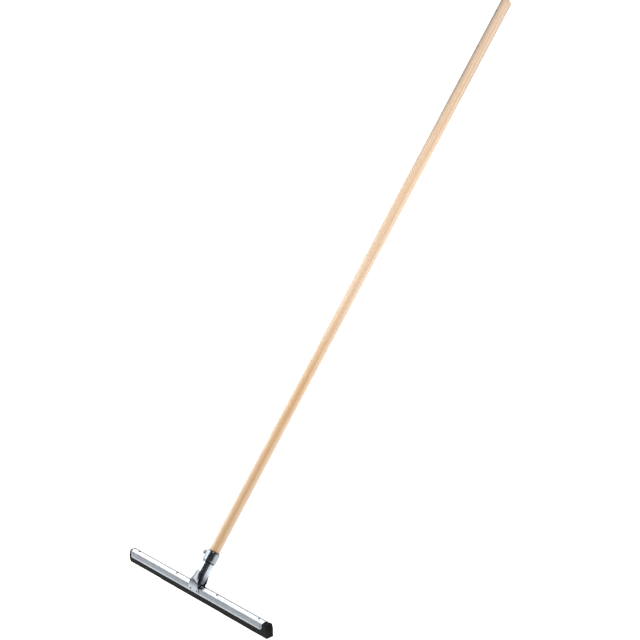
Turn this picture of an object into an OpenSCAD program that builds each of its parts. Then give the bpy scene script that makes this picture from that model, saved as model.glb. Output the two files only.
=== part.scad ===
// Floor squeegee: a double lip of moss rubber in a folded sheet-metal channel, on a clamped wooden handle.
// The origin is the middle of the lips' working edge, on the floor.
// X runs along the head, and the handle leans back towards +Y.

/* [Handle] */
// Diameter of the wooden handle
handle_d = 24; // [20:0.5:28]
// Length of the wooden handle
handle_len = 1400; // [900:10:1600]
// Angle of the handle above the floor, in degrees
handle_lean = 51; // [47:1:56]
// Distance of the handle's lower end from the foot of its axis
handle_seat = 15; // [14:0.5:24]
// Bevel round the handle's lower end
handle_bevel = 2; // [0.5:0.5:4]
// Height of the rounded tip
tip_h = 9; // [4:0.5:12]
// Diameter of the hanging hole
hang_d = 9; // [5:0.5:12]
// Distance of the hanging hole below the tip
hang_drop = 37; // [24:1:80]
// Turn of the hanging hole about the handle, in degrees
hang_turn = 55; // [0:5:90]

/* [Channel] */
// Length of the channel
channel_len = 428; // [330:1:700]
// Outside width between the channel's side walls
channel_w = 18; // [16:0.5:24]
// Thickness of the channel's sheet
sheet_t = 0.8; // [0.6:0.1:1.2]
// Height of the side walls, from the lower edge to the fold
wall_h = 12.8; // [11:0.2:18]
// Rise of the roof from the fold to the ridge
roof_rise = 3.2; // [2.4:0.2:5]
// Outside radius of the folds
fold_r = 1.8; // [1.4:0.1:2.4]
// Outside radius of the ridge
ridge_r = 2.5; // [1.6:0.1:4]
// Height of the hem folded up along each lower edge
hem_h = 2.4; // [1.6:0.2:3.2]
// Radius of the lower corners at the channel's ends
corner_r = 6; // [2:0.5:9]

/* [Lips] */
// Length of the rubber lips
lip_len = 450; // [350:1:720]
// Offset of the lips along the channel
lip_shift = 4; // [0:0.5:8]
// Height of rubber that shows under the channel
lip_show = 14.5; // [10:0.5:24]
// Bulge of each lip past the inside of its wall
lip_bulge = 0.3; // [0.1:0.1:0.8]
// Bevel along the working edges
lip_bevel = 1.2; // [0.4:0.2:3]
// Slit left between the lips at the floor
lip_slit = 0.1; // [0.1:0.1:1]

/* [Core strip and ridge rivets] */
// Thickness of the core strip's web
core_t = 1.2; // [0.8:0.1:2]
// Depth of the web below the flange
core_depth = 10; // [6:0.5:11]
// Width of the core strip's flange
core_flange_w = 8; // [7:0.5:10]
// Thickness of the flange at its edges
core_flange_t = 0.6; // [0.4:0.1:1]
// Distance of the core strip's ends inside the channel's ends
core_inset = 4; // [1:0.5:8]
// Number of rivets along the ridge
rivet_count = 4; // [2:1:6]
// Distance of the outer rivets from the channel's ends
rivet_inset = 17.5; // [12:0.5:40]
// Diameter of the rivets' shanks
rivet_d = 3.2; // [2.4:0.2:4]
// Diameter of the rivets' heads
rivet_head_d = 5.6; // [5:0.2:6.4]
// Height of the rivets' heads
rivet_head_h = 1.9; // [1:0.1:2.4]
// Diameter of the rivets' closed ends
rivet_tail_d = 5; // [4.4:0.2:5.6]
// Height of the rivets' closed ends
rivet_tail_h = 1.2; // [0.8:0.1:2]

/* [Socket] */
// Wall of the socket tube
tube_t = 1.2; // [0.8:0.1:1.6]
// Room round the handle in the socket tube
tube_play = 0.15; // [0.1:0.05:0.3]
// Distance of the tube's lower end from the foot of the axis
tube_start = 14; // [13:0.5:16]
// Length of the socket tube
tube_len = 60; // [50:1:90]
// Depth of the handle's axis below the ridge, where it crosses the channel
axis_drop = 1.7; // [0:0.1:3]
// Width of the two slots in the tube's rim
slot_w = 3; // [1.5:0.5:4]
// Length of the slots that shows below the clamp band
slot_show = 4; // [1:0.5:8]
// Width of the two tongues that the tube's sides reach down to the ridge with
tongue_w = 11; // [8:0.5:13]
// Gap between the tongues and the ridge
tongue_gap = 0.4; // [0.3:0.1:1]

/* [Feet] */
// Sheet thickness of the feet
foot_t = 1.2; // [0.8:0.1:1.6]
// Width of each foot at its top, on the tube
foot_top_w = 18; // [14:0.5:20]
// Width of each foot at its lower edge
foot_w = 34.6; // [33:0.2:38]
// Length of foot that laps the tube
foot_lap = 11; // [6:0.5:16]
// Radius of the feet's lower corners
foot_corner_r = 4; // [2:0.5:6]
// Gap between the feet's lower edges and the hems
foot_gap = 0.4; // [0.2:0.1:1]
// Roundness of the feet's turn, as a share of its chord
foot_ease = 0.385; // [0.3:0.005:0.45]
// Height over the fold at which the front foot turns down the wall
front_turn = 4; // [2:0.5:6]
// Depth under the fold at which the rear foot turns down the wall
rear_turn = 3.3; // [2.5:0.1:4]
// Distance of the foot rivets from the middle
foot_rivet_x = 10; // [7:0.5:12]
// Height of the foot rivets over the hem
foot_rivet_z = 3.4; // [3.4:0.1:4]

/* [Clamp] */
// Sheet thickness of the clamp band
band_t = 1.3; // [1:0.1:1.6]
// Height of the clamp band
band_h = 21; // [18:0.5:26]
// Distance of the band below the tube's rim
band_drop = 1; // [0.5:0.5:4]
// Gap between the band's two ears
ear_gap = 4; // [3:0.5:6]
// Reach of the ears from the handle's axis to their rounded end
ear_reach = 25.5; // [25:0.5:30]
// Diameter of the clamp bolt
bolt_d = 5; // [4:0.5:6]
// Cut across the ears' corners
ear_corner = 2; // [1:0.5:3]
// Distance of the bolt from the ears' outer edge
bolt_edge = 4.5; // [4.5:0.1:5]
// Distance of the bolt below the top of the band
bolt_drop = 7; // [6:0.5:9]
// Diameter of the bolt's head
bolt_head_d = 8.6; // [8:0.2:9]
// Height of the bolt's head
bolt_head_h = 2.6; // [1.6:0.1:3.4]
// Diameter of the washer
washer_d = 8.8; // [8:0.2:9]
// Thickness of the washer
washer_t = 1; // [0.6:0.1:1.4]
// Diameter of the wing nut's hub
hub_d = 8.4; // [7.6:0.2:9]
// Height of the wing nut's hub
hub_h = 6.5; // [5:0.5:8]
// Narrowing of each side of the hub towards its top
hub_taper = 0.8; // [0.2:0.1:1]
// Span of the wing nut across its wings
wing_span = 19; // [16:0.5:19]
// Height of the wing nut's wings over its base
wing_h = 11; // [9:0.5:13]
// Thickness of the wings
wing_t = 2; // [1.4:0.1:2.6]
// Radius of the wings' rounded tips
wing_tip_r = 2.2; // [1.6:0.1:2.6]
// Height at which the wings leave the hub
wing_root = 1.5; // [0.5:0.1:2.5]
// Depth of the hollow between the wings, below the hub's top
wing_dip = 1; // [0.5:0.1:2]
// Distance that the nut can be backed off along the bolt
nut_travel = 2.4; // [1:0.2:4]
// Bolt left past the nut when it is backed off
bolt_spare = 1.5; // [0.5:0.5:4]

/* [Clearances] */
// Gap between pieces that are fixed together
seat_gap = 0.05; // [0.02:0.01:0.1]
// Room in the holes round the rivets and the bolt
hole_play = 0.1; // [0.05:0.05:0.2]
// Running fit of the wing nut on the bolt
thread_play = 0.05; // [0.03:0.01:0.08]

/* [Hidden] */

wood = [0.87, 0.72, 0.55];
zinc = [0.72, 0.75, 0.78];
rubber = [0.12, 0.12, 0.12];

round_fn = 96;
bend_steps = 5;
dome_steps = 8;
big = 60;
over = 1;

// Heights of the channel's cross-section
half_w = channel_w / 2;
in_half_w = half_w - sheet_t;
wall_z = lip_show;
hem_z = wall_z + hem_h;
fold_z = wall_z + wall_h;
ridge_z = fold_z + roof_rise;
roof_a = atan(roof_rise / half_w);
roof_in_z = ridge_z - sheet_t / cos(roof_a);
in_ridge_r = max(ridge_r - sheet_t, 0.4);
in_fold_r = max(fold_r - sheet_t, 0.4);

// Core strip and lips under the roof
flange_half = core_flange_w / 2;
flange_z = roof_in(flange_half) - seat_gap - core_flange_t;
core_z = flange_z - core_depth;
core_len = channel_len - 2 * core_inset;
lip_out = in_half_w - seat_gap;
lip_in = core_t / 2 + seat_gap;
lip_top = flange_z - seat_gap;
rivet_span = channel_len - 2 * rivet_inset;
rivet_x = [for (i = [0 : rivet_count - 1]) rivet_span * (i / (rivet_count - 1) - 1 / 2)];
rivet_hole_d = rivet_d + 2 * hole_play;
pocket_d = rivet_tail_d + 2 * hole_play;
pocket_z = flange_z - rivet_tail_h - hole_play;

// Socket and clamp along the handle's axis
axis_z = ridge_z - axis_drop;
axis_dir = [cos(handle_lean), sin(handle_lean)];
axis_out = [-sin(handle_lean), cos(handle_lean)];
tube_in_r = handle_d / 2 + tube_play;
tube_r = tube_in_r + tube_t;
tube_end = tube_start + tube_len;
band_in_r = tube_r + seat_gap;
band_r = band_in_r + band_t;
band_start = tube_end - band_drop - band_h;
slot_len = band_drop + band_h + slot_show;
ear_y = ear_gap / 2;
ear_face = ear_y + band_t;
bolt_x = -(ear_reach - bolt_edge);
bolt_t = band_start + band_h - bolt_drop;
bolt_len = 2 * ear_face + washer_t + hub_h + nut_travel + bolt_spare;

// Feet, front and rear
foot_half = foot_w / 2;
foot_top_half = foot_top_w / 2;
foot_r = tube_r + seat_gap + foot_t / 2;
foot_y = half_w + seat_gap + foot_t / 2;
foot_low = hem_z + foot_gap;
foot_cols = 18;
lap_steps = 2;
turn_steps = 10;
plate_steps = 6;
plate_bias = 1.6;
lap_low = tube_start;
flat_share = 0.9;
rivet_foot_z = hem_z + foot_rivet_z;

function roof_in(y) = roof_in_z - abs(y) * tan(roof_a);
function unit(v) = v / norm(v);

// Points of a corner at b, rounded to radius r between the edges to a and c
function bend(a, b, c, r) =
  let (
    u = unit(a - b),
    v = unit(c - b),
    half = acos(u * v) / 2,
    centre = b + unit(u + v) * r / sin(half),
    e0 = (b + u * r / tan(half) - centre) / r,
    e1 = (b + v * r / tan(half) - centre) / r,
    sweep = 180 - 2 * half
  )
  [for (i = [0 : bend_steps])
    let (s = i / bend_steps)
    centre + r * (sin((1 - s) * sweep) * e0 + sin(s * sweep) * e1) / sin(sweep)];

// Outline through corners given as [y, z, radius], with a radius of 0 for a sharp one
function rounded(corners) =
  let (n = len(corners), p = [for (c = corners) [c[0], c[1]]])
  [for (i = [0 : n - 1])
    each (corners[i][2] > 0 ? bend(p[(i + n - 1) % n], p[i], p[(i + 1) % n], corners[i][2]) : [p[i]])];

// Corners of a whole outline from those of its +Y half
function mirrored(half) = concat(
  half,
  [for (i = [len(half) - 1 : -1 : 0]) if (half[i][0] > 0) [-half[i][0], half[i][1], half[i][2]]]
);

// Outside of the channel without its hems, down to height z
function channel_outside(z) = rounded(mirrored([
  [half_w, z, 0], [half_w, fold_z, fold_r], [0, ridge_z, ridge_r]
]));

// Space inside the channel
function channel_inside(z) = rounded(mirrored([
  [in_half_w, z, 0], [in_half_w, roof_in(in_half_w), in_fold_r], [0, roof_in_z, in_ridge_r]
]));

// Cross-section of the rear lip; the front lip is its mirror image
function lip_section() =
  let (bulge_y = in_half_w + lip_bulge, ease_y = lip_out - in_fold_r)
  [
    [lip_slit / 2, 0],
    [bulge_y - lip_bevel, 0],
    [bulge_y, lip_bevel],
    [bulge_y, wall_z - 2 * lip_bulge - seat_gap],
    [lip_out, wall_z - seat_gap],
    [lip_out, roof_in(lip_out) - in_fold_r],
    [ease_y, roof_in(ease_y) - seat_gap],
    [(roof_in_z - lip_top - seat_gap) / tan(roof_a), lip_top],
    [lip_in, lip_top],
    [lip_in, core_z - seat_gap],
  ];

// Quarter outline of a domed head of radius r and height h
function dome(r, h) =
  [for (i = [0 : dome_steps])
    let (a = 90 * i / dome_steps)
    [r * cos(a), h * sin(a)]];

// Point and direction along the middle of a foot, as [y, z], for one side: 1 in front, -1 behind
function lap_point(side, t) = [0, axis_z] + t * axis_dir + side * foot_r * axis_out;
function turn_end(side) = [-side * foot_y, side > 0 ? fold_z + front_turn : fold_z - rear_turn];
function turn_ctrl(side) =
  let (a = lap_point(side, lap_low), d = turn_end(side), reach = foot_ease * norm(d - a))
  [a, a - reach * axis_dir, d + [0, reach], d];
function bezier(c, s) =
  pow(1 - s, 3) * c[0] + 3 * s * pow(1 - s, 2) * c[1] + 3 * s * s * (1 - s) * c[2] + pow(s, 3) * c[3];
function bezier_dir(c, s) =
  unit(pow(1 - s, 2) * (c[1] - c[0]) + 2 * s * (1 - s) * (c[2] - c[1]) + s * s * (c[3] - c[2]));
function smooth(s) = s * s * (3 - 2 * s);

// Curvature across a foot at share s of its turn, down to flat before the turn ends
function cross_curve(s) = (1 - smooth(min(s / flat_share, 1))) / foot_r;

// Half width of a foot at a distance down from its top: it fans out until halfway down the wall
function fan_half(side, down) =
  let (fan = foot_lap + turn_run(side) + (turn_end(side)[1] - foot_low) / 2)
  foot_top_half + (foot_half - foot_top_half) * min(down / fan, 1);
function turn_run(side) = norm(turn_end(side) - lap_point(side, lap_low));

// Half width of a foot at height h over its lower edge, with the corner rounded off
function plate_half(side, h) =
  let (
    full = fan_half(side, foot_lap + turn_run(side) + turn_end(side)[1] - foot_low - h),
    off = max(foot_corner_r - h, 0)
  )
  full - foot_corner_r + sqrt(foot_corner_r * foot_corner_r - off * off);

// Stations down a foot: [point, direction, curvature across, half width]
function foot_stations(side) =
  let (c = turn_ctrl(side), low = turn_end(side)[1] - foot_low)
  concat(
    [for (i = [0 : lap_steps - 1])
      [lap_point(side, lap_low + foot_lap * (1 - i / lap_steps)), -axis_dir, 1 / foot_r,
       fan_half(side, foot_lap * i / lap_steps)]],
    [for (i = [0 : turn_steps])
      let (s = i / turn_steps)
      [bezier(c, s), bezier_dir(c, s), cross_curve(s), fan_half(side, foot_lap + turn_run(side) * s)]],
    [for (i = [1 : plate_steps])
      let (h = low * pow(1 - i / plate_steps, plate_bias))
      [[c[3][0], foot_low + h], [0, -1], 0, plate_half(side, h)]]
  );

// One row of points across a foot, moved off its middle by d
function foot_row(side, st, d) =
  let (out = side * [st[1][1], -st[1][0]])
  [for (j = [0 : foot_cols])
    let (
      across = st[3] * (2 * j / foot_cols - 1),
      turn = st[2] * across * 180 / PI,
      x = st[2] > 0 ? sin(turn) / st[2] : across,
      back = st[2] > 0 ? (1 - cos(turn)) / st[2] : 0,
      yz = st[0] - back * out + d * cos(turn) * out
    )
    [x + d * sin(turn), yz[0], yz[1]]];

// Triangles of one sheet of rows, from point number first on
function sheet_faces(rows, cols, first, flip) =
  [for (i = [0 : rows - 2], j = [0 : cols - 2], k = [0, 1])
    let (
      a = first + i * cols + j,
      tri = k == 0 ? [a, a + 1, a + cols] : [a + 1, a + cols + 1, a + cols]
    )
    flip ? [tri[2], tri[1], tri[0]] : tri];

// Triangles of the edge that joins two sheets along the same loop of point numbers
function edge_faces(loop, shift, flip) =
  [for (i = [0 : len(loop) - 1], k = [0, 1])
    let (
      a = loop[i],
      b = loop[(i + 1) % len(loop)],
      tri = k == 0 ? [a, a + shift, b] : [b, a + shift, b + shift]
    )
    flip ? [tri[2], tri[1], tri[0]] : tri];

function grid_loop(rows, cols) = concat(
  [for (j = [0 : cols - 2]) j],
  [for (i = [0 : rows - 2]) i * cols + cols - 1],
  [for (j = [cols - 1 : -1 : 1]) (rows - 1) * cols + j],
  [for (i = [rows - 1 : -1 : 1]) i * cols]
);

// Extrudes an outline drawn in Y and Z along the head
module along_x(length) {
  rotate([90, 0, 90]) linear_extrude(height = length, center = true) children();
}

// Puts a piece on the handle's axis, t from the axis's foot; its -Y side then faces front and up
module on_axis(t) {
  translate([0, 0, axis_z]) rotate([handle_lean - 90, 0, 0]) translate([0, 0, t]) children();
}

// Puts a piece on the clamp bolt, with Z from the head's seat towards the nut
module on_bolt(z) {
  on_axis(bolt_t) translate([bolt_x, z, 0]) rotate([-90, 0, 0]) children();
}

module foot_sheet(side) {
  stations = foot_stations(side);
  rows = len(stations);
  cols = foot_cols + 1;
  points = [
    for (st = stations) each foot_row(side, st, foot_t / 2),
    for (st = stations) each foot_row(side, st, -foot_t / 2),
  ];
  polyhedron(points, concat(
    sheet_faces(rows, cols, 0, side < 0),
    sheet_faces(rows, cols, rows * cols, side > 0),
    edge_faces(grid_loop(rows, cols), rows * cols, side < 0)
  ));
}

// Puts a piece at each rivet of one foot, with Z out through the wall
module at_foot_rivets(side) {
  for (s = [-1, 1])
    translate([s * foot_rivet_x, 0, rivet_foot_z]) rotate([side * 90, 0, 0]) children();
}

// Puts a piece at each rivet along the ridge, at height z
module at_ridge_rivets(z) {
  for (x = rivet_x) translate([x, 0, z]) children();
}

module foot(side) {
  difference() {
    foot_sheet(side);
    at_foot_rivets(side) cylinder(d = rivet_hole_d, h = big, $fn = round_fn);
  }
}

// Domed head of a rivet or bolt on the floor of its frame
module head(d, h) {
  rotate_extrude($fn = round_fn) polygon(concat([[0, 0]], dome(d / 2, h)));
}

module handle() {
  half = handle_d / 2;
  tip = [for (p = dome(half, tip_h)) [p[0], handle_len - tip_h + p[1]]];
  color(wood) on_axis(handle_seat) difference() {
    rotate_extrude($fn = round_fn)
      polygon(concat([[0, 0], [half - handle_bevel, 0], [half, handle_bevel]], tip));
    translate([0, 0, handle_len - hang_drop]) rotate([0, 90, hang_turn])
      cylinder(d = hang_d, h = big, center = true, $fn = round_fn);
  }
}

module socket_tube() {
  color(zinc) difference() {
    on_axis(tube_start) difference() {
      translate([0, 0, -tube_start]) cylinder(r = tube_r, h = tube_start + tube_len, $fn = round_fn);
      translate([0, 0, -tube_start - over])
        cylinder(r = tube_in_r, h = tube_start + tube_len + 2 * over, $fn = round_fn);
      translate([-big / 2, -slot_w / 2, tube_len - slot_len]) cube([big, slot_w, big]);
      for (s = [-1, 1])
        translate([-big / 2, s * (big + tongue_w) / 2 - big / 2, -big]) cube(big);
    }
    translate([-big / 2, -big / 2, ridge_z + tongue_gap - big]) cube(big);
  }
}

module front_foot() {
  color(zinc) foot(1);
}

module rear_foot() {
  color(zinc) foot(-1);
}

module foot_rivets() {
  seat = half_w + seat_gap + foot_t;
  tail = in_half_w - rivet_tail_h;
  color(zinc) for (side = [-1, 1]) at_foot_rivets(side) {
    translate([0, 0, seat]) head(rivet_head_d, rivet_head_h);
    translate([0, 0, tail]) cylinder(d = rivet_d, h = seat - tail, $fn = round_fn);
    translate([0, 0, tail]) cylinder(d = rivet_tail_d, h = rivet_tail_h, $fn = round_fn);
  }
}

module clamp_band() {
  root = -band_in_r - seat_gap;
  ear_outline = [
    [root, 0], [-band_r - ear_corner, 0], [-ear_reach, band_h / 2 - ear_corner],
    [-ear_reach, band_h - ear_corner], [-ear_reach + ear_corner, band_h], [root, band_h]
  ];
  color(zinc) on_axis(band_start) difference() {
    union() {
      cylinder(r = band_r, h = band_h, $fn = round_fn);
      rotate([90, 0, 0]) linear_extrude(height = 2 * ear_face, center = true) polygon(ear_outline);
    }
    translate([0, 0, -over]) cylinder(r = band_in_r, h = band_h + 2 * over, $fn = round_fn);
    translate([-big, -ear_y, -over]) cube([big, ear_gap, band_h + 2 * over]);
    translate([bolt_x, 0, band_h - bolt_drop]) rotate([90, 0, 0])
      cylinder(d = bolt_d + 2 * hole_play, h = big, center = true, $fn = round_fn);
  }
}

module clamp_bolt() {
  color(zinc) on_bolt(-ear_face) {
    cylinder(d = bolt_d, h = bolt_len, $fn = round_fn);
    mirror([0, 0, 1]) head(bolt_head_d, bolt_head_h);
  }
}

module clamp_washer() {
  color(zinc) on_bolt(ear_face) difference() {
    cylinder(d = washer_d, h = washer_t, $fn = round_fn);
    translate([0, 0, -over]) cylinder(d = bolt_d + 2 * hole_play, h = washer_t + 2 * over, $fn = round_fn);
  }
}

module wing_nut() {
  tip_x = wing_span / 2 - wing_tip_r;
  tip_z = wing_h - wing_tip_r;
  wing_outline = [
    [0, wing_root], [hub_d / 2, wing_root], [wing_span / 2, tip_z], [tip_x, wing_h], [0, hub_h - wing_dip]
  ];
  color(zinc) on_bolt(ear_face + washer_t) difference() {
    union() {
      cylinder(d1 = hub_d, d2 = hub_d - 2 * hub_taper, h = hub_h, $fn = round_fn);
      for (turn = [90, -90])
        rotate([90, 0, turn]) linear_extrude(height = wing_t, center = true) {
          translate([tip_x, tip_z]) circle(r = wing_tip_r, $fn = round_fn);
          polygon(wing_outline);
        }
    }
    translate([0, 0, -over]) cylinder(d = bolt_d + 2 * thread_play, h = wing_h + 2 * over, $fn = round_fn);
  }
}

// Lower corner of both walls at one end, to be cut off round
module end_corner(s) {
  translate([s * channel_len / 2, 0, wall_z]) rotate([90, 0, s > 0 ? 0 : 180])
    linear_extrude(height = big, center = true) difference() {
      translate([-corner_r, -over]) square(corner_r + over);
      translate([-corner_r, corner_r]) circle(r = corner_r, $fn = round_fn);
    }
}

module channel() {
  color(zinc) difference() {
    union() {
      along_x(channel_len) polygon(channel_outside(wall_z));
      for (s = [-1, 1])
        along_x(channel_len) translate([s * half_w, wall_z + hem_h / 2])
          square([2 * sheet_t, hem_h], center = true);
    }
    along_x(channel_len + 2 * over) polygon(channel_inside(wall_z - over));
    at_ridge_rivets(flange_z) cylinder(d = rivet_hole_d, h = big, $fn = round_fn);
    for (side = [-1, 1]) {
      at_foot_rivets(side) cylinder(d = rivet_hole_d, h = big, $fn = round_fn);
      end_corner(side);
    }
  }
}

module core_strip() {
  color(zinc) difference() {
    along_x(core_len) polygon(rounded(mirrored([
      [core_t / 2, core_z, 0], [core_t / 2, flange_z, 0], [flange_half, flange_z, 0],
      [flange_half, roof_in(flange_half) - seat_gap, 0], [in_ridge_r, roof_in(in_ridge_r) - seat_gap, 0]
    ])));
    at_ridge_rivets(core_z) cylinder(d = rivet_hole_d, h = big, $fn = round_fn);
    at_ridge_rivets(pocket_z) cylinder(d = pocket_d, h = flange_z - pocket_z, $fn = round_fn);
  }
}

module ridge_rivets() {
  tail_z = flange_z - rivet_tail_h;
  skirt_z = ridge_z - roof_rise / 2;
  color(zinc) at_ridge_rivets(0) {
    difference() {
      union() {
        translate([0, 0, skirt_z]) cylinder(d = rivet_head_d, h = ridge_z - skirt_z, $fn = round_fn);
        translate([0, 0, ridge_z]) head(rivet_head_d, rivet_head_h);
      }
      along_x(2 * rivet_head_d) polygon(channel_outside(wall_z));
    }
    translate([0, 0, tail_z]) cylinder(d = rivet_d, h = ridge_z - tail_z, $fn = round_fn);
    translate([0, 0, tail_z]) cylinder(d = rivet_tail_d, h = rivet_tail_h, $fn = round_fn);
  }
}

module lip(side) {
  color(rubber) difference() {
    translate([lip_shift, 0, 0]) mirror([0, side > 0 ? 1 : 0, 0])
      along_x(lip_len) polygon(lip_section());
    at_ridge_rivets(pocket_z) cylinder(d = pocket_d, h = big, $fn = round_fn);
    at_foot_rivets(side) translate([0, 0, in_half_w - rivet_tail_h - hole_play])
      cylinder(d = pocket_d, h = big, $fn = round_fn);
  }
}

module front_lip() {
  lip(1);
}

module rear_lip() {
  lip(-1);
}

handle();
socket_tube();
front_foot();
rear_foot();
foot_rivets();
clamp_band();
clamp_bolt();
clamp_washer();
wing_nut();
channel();
core_strip();
ridge_rivets();
front_lip();
rear_lip();
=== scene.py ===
import math

import bmesh
import bpy
from mathutils import Euler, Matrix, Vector, noise


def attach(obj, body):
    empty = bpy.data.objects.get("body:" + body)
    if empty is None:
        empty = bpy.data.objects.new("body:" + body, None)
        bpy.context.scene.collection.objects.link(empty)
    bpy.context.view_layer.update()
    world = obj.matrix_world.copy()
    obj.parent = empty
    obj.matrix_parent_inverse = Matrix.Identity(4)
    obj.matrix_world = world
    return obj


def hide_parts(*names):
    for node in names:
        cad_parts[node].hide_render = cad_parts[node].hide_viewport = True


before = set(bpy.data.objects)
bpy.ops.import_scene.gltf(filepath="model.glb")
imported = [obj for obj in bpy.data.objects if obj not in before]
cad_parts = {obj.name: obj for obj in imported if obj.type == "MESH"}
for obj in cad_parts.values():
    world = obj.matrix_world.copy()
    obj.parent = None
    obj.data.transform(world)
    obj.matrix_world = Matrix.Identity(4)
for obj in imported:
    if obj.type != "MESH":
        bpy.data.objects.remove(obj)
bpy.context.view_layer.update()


# CHANNEL
# A long strip of zinc-plated steel sheet, folded lengthwise into a low ridged roof with two walls.
# Its lower edges are turned out and pressed flat into hems, and the walls' end corners are rounded off.
# A punch mark near the right end of each wall bites into the lips and pins them.
MM = 0.001
channel_half = 214.0
channel_corner_r = 6.0
channel_sheet = 0.76
sheared_edge = 0.14
wall_y = 9.0
wall_low = 14.5
fold_z, fold_r = 27.3, 1.42
ridge_z, ridge_r = 30.5, 2.12
roof_slope = (ridge_z - fold_z) / wall_y
hem_out_y = 9.8
hem_top_z = 16.9
end_run = 12
fold_drop = 1.5
roof_shares = (0.7, 0.5, 0.32)
arc_steps, wall_steps = 8, 22
long_steps, end_steps = 16, 26
dimple_x, dimple_z = 208.2, 20.4
dimple_r, dimple_depth = 2.8, 1.3


def fillet(a, b, c, radius, steps):
    """Points of the corner b, rounded between its edges to a and c."""
    a, b, c = Vector(a), Vector(b), Vector(c)
    u, v = (a - b).normalized(), (c - b).normalized()
    half = u.angle(v) / 2
    centre = b + (u + v).normalized() * radius / math.sin(half)
    start = b + u * radius / math.tan(half) - centre
    end = b + v * radius / math.tan(half) - centre
    sweep = math.pi - 2 * half
    turn = math.copysign(sweep / steps, start.x * end.y - start.y * end.x)
    return [
        (
            centre.x + start.x * math.cos(i * turn) - start.y * math.sin(i * turn),
            centre.y + start.x * math.sin(i * turn) + start.y * math.cos(i * turn),
        )
        for i in range(steps + 1)
    ]


def grid_piece(name, rows, skip=(), closed=False):
    """An object made of the sheet through rows of points in mm. skip holds the cells left open."""
    mesh = bmesh.new()
    made = [[mesh.verts.new(Vector(p) * MM) for p in row] for row in rows]
    width = len(rows[0])
    for i in range(len(rows) - 1):
        for j in range(width if closed else width - 1):
            if (i, j) not in skip:
                k = (j + 1) % width
                mesh.faces.new((made[i][j], made[i][k], made[i + 1][k], made[i + 1][j]))
    bmesh.ops.delete(mesh, geom=[v for v in mesh.verts if not v.link_faces], context="VERTS")
    data = bpy.data.meshes.new(name)
    mesh.to_mesh(data)
    mesh.free()
    piece = bpy.data.objects.new(name, data)
    bpy.context.scene.collection.objects.link(piece)
    return piece


def shade_smooth(mesh, sharp_deg):
    """Shades a mesh smooth, but for edges that bend more sharply than this."""
    mesh.polygons.foreach_set("use_smooth", [True] * len(mesh.polygons))
    mesh.set_sharp_from_angle(angle=math.radians(sharp_deg))


def bake_modifiers(piece, smooth_deg=35):
    """Turns a piece with modifiers into a plain smooth-shaded mesh."""
    evaluated = piece.evaluated_get(bpy.context.evaluated_depsgraph_get())
    plain = bpy.data.meshes.new_from_object(evaluated)
    piece.modifiers.clear()
    rough_mesh, piece.data = piece.data, plain
    bpy.data.meshes.remove(rough_mesh)
    shade_smooth(plain, smooth_deg)
    return piece


def press_sheet(piece, thickness, edge):
    """Gives a sheet its thickness in mm, and breaks its sheared edges."""
    wall = piece.modifiers.new("thickness", "SOLIDIFY")
    wall.thickness = thickness * MM
    wall.offset = 0
    wall.use_even_offset = True
    broken = piece.modifiers.new("broken edges", "BEVEL")
    broken.width = edge * MM
    broken.segments = 2
    broken.limit_method = "ANGLE"
    broken.angle_limit = math.radians(50)
    return bake_modifiers(piece)


def new_finish(name):
    """An empty node material with its shader and its object coordinates."""
    finish = bpy.data.materials.new(name)
    finish.use_nodes = True
    tree = finish.node_tree
    shader = tree.nodes["Principled BSDF"]
    place = tree.nodes.new("ShaderNodeTexCoord")
    return finish, tree, shader, place.outputs["Object"]


def mapped(tree, source, scale, turn=(0, 0, 0), shift=(0, 0, 0)):
    """Object coordinates in metres, turned, shifted and scaled for a pattern."""
    place = tree.nodes.new("ShaderNodeMapping")
    place.inputs["Rotation"].default_value = [math.radians(a) for a in turn]
    place.inputs["Location"].default_value = shift
    tree.links.new(source, place.inputs["Vector"])
    stretch = tree.nodes.new("ShaderNodeVectorMath")
    stretch.operation = "MULTIPLY"
    stretch.inputs[1].default_value = scale
    tree.links.new(place.outputs["Vector"], stretch.inputs[0])
    return stretch.outputs["Vector"]


def noise_field(tree, vector, detail, rough):
    """A noise of one cell for each unit of the vector."""
    field = tree.nodes.new("ShaderNodeTexNoise")
    field.inputs["Scale"].default_value = 1.0
    field.inputs["Detail"].default_value = detail
    field.inputs["Roughness"].default_value = rough
    tree.links.new(vector, field.inputs["Vector"])
    return field.outputs["Fac"]


def ramp(tree, value, stops):
    """A colour ramp through (position, colour) stops."""
    node = tree.nodes.new("ShaderNodeValToRGB")
    band = node.color_ramp
    while len(band.elements) < len(stops):
        band.elements.new(0.5)
    for element, (at, colour) in zip(band.elements, stops):
        element.position = at
        element.color = (*colour, 1)
    tree.links.new(value, node.inputs["Fac"])
    return node.outputs["Color"]


def span(tree, value, low, high, to_low, to_high):
    """A value carried from one range to another, held inside it."""
    node = tree.nodes.new("ShaderNodeMapRange")
    ends = {"From Min": low, "From Max": high, "To Min": to_low, "To Max": to_high}
    for socket, number in ends.items():
        node.inputs[socket].default_value = number
    tree.links.new(value, node.inputs["Value"])
    return node.outputs["Result"]


def bump(tree, height, depth_mm, strength, under=None):
    """A normal roughened by a height, over another normal if there is one."""
    node = tree.nodes.new("ShaderNodeBump")
    node.inputs["Strength"].default_value = strength
    node.inputs["Distance"].default_value = depth_mm * MM
    tree.links.new(height, node.inputs["Height"])
    if under is not None:
        tree.links.new(under, node.inputs["Normal"])
    return node.outputs["Normal"]


def multiplied(tree, colour, *tones):
    """A colour darkened or tinted by each of the tones in turn."""
    for tone in tones:
        node = tree.nodes.new("ShaderNodeMix")
        node.data_type = "RGBA"
        node.blend_type = "MULTIPLY"
        node.inputs["Factor"].default_value = 1.0
        tree.links.new(colour, node.inputs[6])
        tree.links.new(tone, node.inputs[7])
        colour = node.outputs[2]
    return colour


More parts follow.
